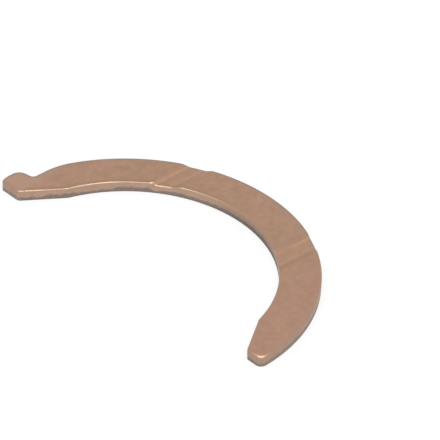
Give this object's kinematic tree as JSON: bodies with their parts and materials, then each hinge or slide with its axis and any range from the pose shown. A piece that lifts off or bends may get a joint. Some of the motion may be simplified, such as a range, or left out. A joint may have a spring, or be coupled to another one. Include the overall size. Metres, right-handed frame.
{
  "type": "half thrust washer",
  "caption": "Flat crescent thrust washer for a shaft, with relieved ends, a locating lug at one end and oil grooves across its running face.",
  "frame": {"origin": "on the shaft's axis, in the plane of the back face", "axes": "+Z along the shaft, out of the grooved running face; +Y to the crown of the crescent; the lug is at the -X end"},
  "size_m": [0.0795, 0.0385, 0.0023],
  "materials": {
    "bronze": "matte copper-bronze strip with sheared edges"
  },
  "bodies": {
    "root": {"thrust_washer": "bronze"}
  },
  "joints": []
}
